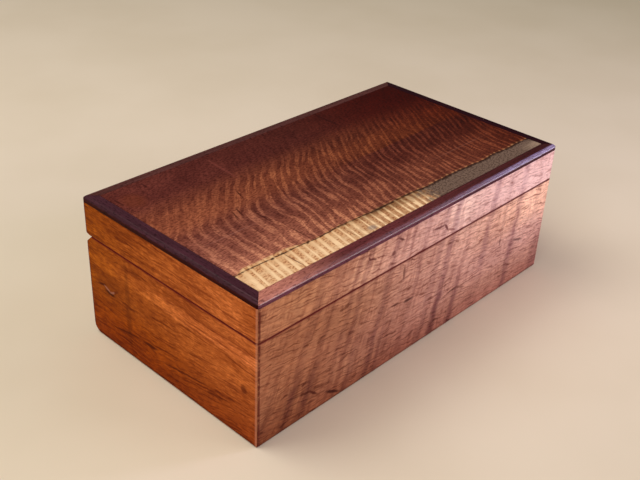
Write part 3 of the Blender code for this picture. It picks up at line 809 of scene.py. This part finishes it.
def pressed_brass(colours):
    """Brass, rolled, pressed and tumbled: warm metal with a dull tarnish and fine lengthwise scratches."""
    material, tree, shader = new_material("brass_tumbled")
    place = board_place(tree, "front")
    scratches = grain(tree, place, (6, 0.25, 0.25), 0.4, 0.65, shift=4)
    tarnish = grain(tree, place, (4, 3, 3), 0.4, 0.7, detail=3, shift=7)
    dulled = layered(tree, colours.brass, (linear("8A6430"), tarnish, 0.5))
    surfaced(tree, shader, dulled,
             put(tree, "MapRange", {"Value": scratches, "To Min": 0.24, "To Max": 0.4}))
    shader.inputs["Metallic"].default_value = 1
    pimpled(tree, shader, scratches, 0.02, 0.3)
    return material


def studio_floor(colours):
    """Matt painted board: pale, with the faintest mottle."""
    material, tree, shader = new_material("studio_floor_matt")
    place = board_place(tree, "front")
    mottle = grain(tree, place, (160, 160, 160), 0.3, 0.7, detail=3)
    mottled = layered(tree, colours.floor, (linear("DACDB6"), mottle, 0.5))
    surfaced(tree, shader, mottled, 0.85, 0.1)
    return material


def node_copy(node):
    """A closed bmesh made from a CAD node's loose triangles, with its flat faces whole again."""
    form = bmesh.new()
    form.from_mesh(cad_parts[node].data)
    bmesh.ops.remove_doubles(form, verts=form.verts, dist=merge_distance)
    bmesh.ops.dissolve_limit(form, angle_limit=flat_angle, verts=form.verts, edges=form.edges)
    bmesh.ops.recalc_face_normals(form, faces=form.faces)
    return form


def close_mitres(form, side, hairline):
    """Bring both mitred ends of a frame piece up to its neighbours, but for a hairline of glue."""
    unturn = Matrix.Rotation(-side_turns[side], 3, "Z")
    half_length, reach = board_reach(side)
    step = mitre_slack - hairline / sqrt(2)
    for vert in form.verts:
        place = unturn @ vert.co
        slack = half_length - abs(place.x) - (reach + place.y)
        if abs(slack - mitre_slack) < slack_tolerance:
            outwards = Vector((1 if place.x > 0 else -1, 0, 0))
            bmesh.ops.translate(form, vec=unturn.inverted() @ outwards * step, verts=[vert])


def round_corners(form, side, radius, steps=5):
    """Round the upright corner at both mitres with a few flat cuts, as far as the mitre."""
    turn = Matrix.Rotation(side_turns[side], 3, "Z")
    half_length, reach = board_reach(side)
    for end in (-1, 1):
        centre = Vector((end * (half_length - radius), radius - reach, 0))
        for step in range(1, steps + 1):
            lean = pi / 4 * step / steps
            outwards = Vector((end * sin(lean), -cos(lean), 0))
            cut = bmesh.ops.bisect_plane(form, geom=form.verts[:] + form.edges[:] + form.faces[:],
                                         dist=merge_distance, plane_co=turn @ (centre + radius * outwards),
                                         plane_no=turn @ outwards, clear_outer=True)
            rim = [edge for edge in cut["geom_cut"] if isinstance(edge, bmesh.types.BMEdge)]
            bmesh.ops.holes_fill(form, edges=rim)


def corner_part(face):
    """What a face is at a mitred corner: its mitre, a facet of its rounding, or neither."""
    normal, centre = face.normal, face.calc_center_median()
    if abs(normal.z) > upright_slack or min(abs(normal.x), abs(normal.y)) < upright_slack:
        return None
    return "mitre" if normal.x * centre.x * normal.y * centre.y < 0 else "rounding"


def ease(form, radius, least_length, segments=3):
    """Round the sharp edges that are this long or end a rounded corner; the mitres stay crisp."""
    edges = []
    for edge in form.edges:
        parts = [corner_part(face) for face in edge.link_faces]
        wanted = edge.calc_length() > least_length or "rounding" in parts
        if edge.is_manifold and wanted and "mitre" not in parts and edge.calc_face_angle() > easing_angle:
            edges.append(edge)
    bmesh.ops.bevel(form, geom=edges, offset=radius, offset_type="OFFSET", affect="EDGES",
                    segments=segments, profile=0.5, material=-1, clamp_overlap=False)


def finish_piece(name, form, materials, body, slot, *nodes):
    """Make the bmesh a piece of the object that rides on a body and stands for CAD nodes."""
    mesh = bpy.data.meshes.new(name)
    bmesh.ops.recalc_face_normals(form, faces=form.faces)
    form.to_mesh(mesh)
    form.free()
    for material in materials:
        mesh.materials.append(material)
    mesh.shade_smooth()
    mesh.set_sharp_from_angle(angle=sharp_angle)
    piece = bpy.data.objects.new(name, mesh)
    bpy.context.scene.collection.objects.link(piece)
    weighted = piece.modifiers.new("flat faces stay flat", "WEIGHTED_NORMAL")
    weighted.keep_sharp = True
    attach(piece, body)
    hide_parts(*nodes)
    return piece


class KEEPSAKE_OT_walls(bpy.types.Operator):
    """Make the four mitred walls of the body"""

    bl_idname = "keepsake.walls"
    bl_label = "Body walls"

    def execute(self, context):
        sizes, colours = context.scene.keepsake_sizes, context.scene.keepsake_colours
        for side in sides:
            wood = cherry_front if side in ("front", "back") else cherry_end
            form = node_copy(f"{side}_wall")
            close_mitres(form, side, sizes.hairline)
            round_corners(form, side, sizes.corner_round)
            ease(form, sizes.wall_arris, long_edge)
            material = wood(colours, f"cherry_{side}_oiled", side)
            finish_piece(f"{side}_wall_board", form, [material], "body", "wall_wood", f"{side}_wall")
        return {"FINISHED"}


class KEEPSAKE_OT_rails(bpy.types.Operator):
    """Make the four mitred rails of the lid from the same boards as the walls"""

    bl_idname = "keepsake.rails"
    bl_label = "Lid rails"

    def execute(self, context):
        sizes = context.scene.keepsake_sizes
        for side in sides:
            form = node_copy(f"lid_{side}_rail")
            close_mitres(form, side, sizes.hairline)
            round_corners(form, side, sizes.corner_round)
            ease(form, sizes.wall_arris, long_edge)
            material = bpy.data.materials[f"cherry_{side}_oiled"]
            finish_piece(f"lid_{side}_rail_board", form, [material], "lid", "wall_wood", f"lid_{side}_rail")
        return {"FINISHED"}


class KEEPSAKE_OT_panel(bpy.types.Operator):
    """Make the figured panel, with its sapwood along the front"""

    bl_idname = "keepsake.panel"
    bl_label = "Lid panel"

    def execute(self, context):
        sizes, colours = context.scene.keepsake_sizes, context.scene.keepsake_colours
        form = bmesh.new()
        size = panel_high - panel_low
        panel_depth = rail_top - panel_low.z
        fit = edging_foot - rail_top - sizes.hairline
        grown = (size.x + 2 * fit, size.y + 2 * fit, size.z)
        bmesh.ops.create_cube(form, size=1)
        bmesh.ops.scale(form, vec=grown, verts=form.verts)
        bmesh.ops.translate(form, vec=(panel_low + panel_high) / 2, verts=form.verts)
        ease(form, sizes.panel_arris, panel_depth)
        wood = fiddleback_panel(colours, sizes)
        finish_piece("figured_panel", form, [wood], "lid", "panel_wood", "lid_panel")
        return {"FINISHED"}


class KEEPSAKE_OT_edging(bpy.types.Operator):
    """Make the chamfered edging round the panel"""

    bl_idname = "keepsake.edging"
    bl_label = "Edging"

    def execute(self, context):
        sizes, colours = context.scene.keepsake_sizes, context.scene.keepsake_colours
        drop = edging_foot - rail_top - sizes.hairline
        for side in sides:
            form = node_copy(f"trim_{side}")
            close_mitres(form, side, sizes.hairline)
            foot = [vert for vert in form.verts if vert.co.z < edging_foot + slack_tolerance]
            bmesh.ops.translate(form, vec=(0, 0, -drop), verts=foot)
            round_corners(form, side, sizes.corner_round)
            ease(form, sizes.edging_arris, long_edge, segments=6)
            unturn = Matrix.Rotation(-side_turns[side], 3, "Z")
            form.normal_update()
            for face in form.faces:
                facing = unturn @ face.normal
                if facing.y < -chamfer_facing and facing.z > chamfer_facing:
                    face.material_index = 2 if facing.z < gleam_facing else 1
            woods = [rosewood_edging(colours, side, finish, shine)
                     for finish, shine in zip(edging_finishes, edging_shine[side])]
            finish_piece(f"edging_{side}", form, woods, "lid", "trim_wood", f"trim_{side}")
        return {"FINISHED"}


class KEEPSAKE_OT_base(bpy.types.Operator):
    """Make the plywood base and the felt on it"""

    bl_idname = "keepsake.base"
    bl_label = "Base and lining"

    def execute(self, context):
        sizes, colours = context.scene.keepsake_sizes, context.scene.keepsake_colours
        for name, node, arris, material, slot in (
            ("plywood_base", "base_panel", sizes.wall_arris, birch_plywood(colours), "base_wood"),
            ("felt_lining", "base_lining", sizes.felt_arris, wool_felt(colours), "lining_felt"),
        ):
            form = node_copy(node)
            ease(form, arris, long_edge)
            finish_piece(name, form, [material], "body", slot, node)
        return {"FINISHED"}


class KEEPSAKE_OT_hinges(bpy.types.Operator):
    """Make the hinge leaves with broken edges, and give pins and screws their brass"""

    bl_idname = "keepsake.hinges"
    bl_label = "Hinges"

    def execute(self, context):
        sizes, colours = context.scene.keepsake_sizes, context.scene.keepsake_colours
        brass = pressed_brass(colours)
        for node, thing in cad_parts.items():
            if not node.startswith("hinge_"):
                continue
            if node.endswith("_leaf"):
                form = node_copy(node)
                ease(form, sizes.brass_arris, leaf_edge, segments=2)
                body = "lid" if "_lid_" in node else "body"
                finish_piece(node + "_brass", form, [brass], body, "hinge_brass", node)
            else:
                thing.data.materials.clear()
                thing.data.materials.append(brass)
        return {"FINISHED"}


# Studio: each lamp's name, place, what it points at, width, height, watts, beam and colour. The two
# that stand near the floor have a narrow beam, so that they don't light the floor before them
lamps = (
    ("lamp_overhead", (-0.5, 0.5, 1.3), (0, 0, 0.05), 0.9, 0.9, 12.0, 180, "FFF8F0"),
    ("lamp_window", (1.28, -0.78, 0.53), (0.05, -0.05, 0.05), 0.3, 0.3, 0.9, 60, "E2D4FF"),
    ("lamp_bounce", (0.9, -1.2, 0.35), (0.05, 0, 0.05), 1.0, 0.6, 1.75, 70, "FFEEE8"),
    ("lamp_fill", (-1.3, -0.7, 1.0), (0, 0, 0.05), 1.2, 1.0, 8.0, 180, "FFF4E6"),
)
world_colour = "F2ECE0"
world_strength = 0.3
floor_radius = 6.0
floor_corners = 96

# Camera, as worked out from the corners of the box in the photograph's 640 x 480 frame
camera_place = (-0.43965, -0.38916, 0.39996)
camera_yaw = radians(47.611)
camera_pitch = radians(31.040)
camera_roll = radians(2.713)
focal_length_px = 956.02
photo_width_px = 640
sensor_width_mm = 36


class KEEPSAKE_OT_stage(bpy.types.Operator):
    """Make the plain floor, the soft lamps and the camera"""

    bl_idname = "keepsake.stage"
    bl_label = "Studio"

    def execute(self, context):
        scene = context.scene
        form = bmesh.new()
        bmesh.ops.create_circle(form, cap_ends=True, radius=floor_radius, segments=floor_corners)
        mesh = bpy.data.meshes.new("floor")
        form.to_mesh(mesh)
        form.free()
        mesh.materials.append(studio_floor(scene.keepsake_colours))
        floor = bpy.data.objects.new("floor", mesh)
        scene.collection.objects.link(floor)

        for name, place, aim, width, height, watts, beam, colour in lamps:
            light = bpy.data.lights.new(name, "AREA")
            light.shape = "RECTANGLE"
            light.size = width
            light.size_y = height
            light.energy = watts
            light.spread = radians(beam)
            light.color = linear(colour)
            lamp = bpy.data.objects.new(name, light)
            lamp.location = place
            lamp.rotation_euler = (Vector(aim) - Vector(place)).to_track_quat("-Z", "Y").to_euler()
            scene.collection.objects.link(lamp)

        world = bpy.data.worlds.new("studio")
        world.use_nodes = True
        background = world.node_tree.nodes["Background"]
        background.inputs["Color"].default_value = (*linear(world_colour), 1)
        background.inputs["Strength"].default_value = world_strength
        scene.world = world

        lens = bpy.data.cameras.new("camera")
        lens.sensor_width = sensor_width_mm
        lens.lens = focal_length_px / photo_width_px * sensor_width_mm
        camera = bpy.data.objects.new("camera", lens)
        camera.matrix_world = (
            Matrix.Translation(camera_place)
            @ Matrix.Rotation(-camera_yaw, 4, "Z")
            @ Matrix.Rotation(pi / 2 - camera_pitch, 4, "X")
            @ Matrix.Rotation(camera_roll, 4, "Z")
        )
        scene.collection.objects.link(camera)
        scene.camera = camera
        scene.view_settings.view_transform = "Standard"
        return {"FINISHED"}


class KEEPSAKE_PT_sidebar(bpy.types.Panel):
    """Sizes, colours and steps of the keepsake box's looks"""

    bl_label = "Keepsake Box"
    bl_idname = "KEEPSAKE_PT_sidebar"
    bl_space_type = "VIEW_3D"
    bl_region_type = "UI"
    bl_category = "Keepsake Box"

    def draw(self, context):
        for group in (context.scene.keepsake_sizes, context.scene.keepsake_colours):
            column = self.layout.column(align=True)
            for name in group.__annotations__:
                column.prop(group, name)
        for operator in operators:
            self.layout.operator(operator.bl_idname)


operators = (
    KEEPSAKE_OT_stage,
    KEEPSAKE_OT_walls,
    KEEPSAKE_OT_rails,
    KEEPSAKE_OT_panel,
    KEEPSAKE_OT_edging,
    KEEPSAKE_OT_base,
    KEEPSAKE_OT_hinges,
)
classes = (KeepsakeBoxSizes, KeepsakeBoxColours, *operators, KEEPSAKE_PT_sidebar)


def register():
    for each in classes:
        bpy.utils.register_class(each)
    bpy.types.Scene.keepsake_sizes = PointerProperty(type=KeepsakeBoxSizes)
    bpy.types.Scene.keepsake_colours = PointerProperty(type=KeepsakeBoxColours)


def unregister():
    del bpy.types.Scene.keepsake_colours
    del bpy.types.Scene.keepsake_sizes
    for each in reversed(classes):
        bpy.utils.unregister_class(each)


def main():
    register()
    bpy.ops.keepsake.stage()
    bpy.ops.keepsake.walls()
    bpy.ops.keepsake.rails()
    bpy.ops.keepsake.panel()
    bpy.ops.keepsake.edging()
    bpy.ops.keepsake.base()
    bpy.ops.keepsake.hinges()


if __name__ == "__main__":
    main()
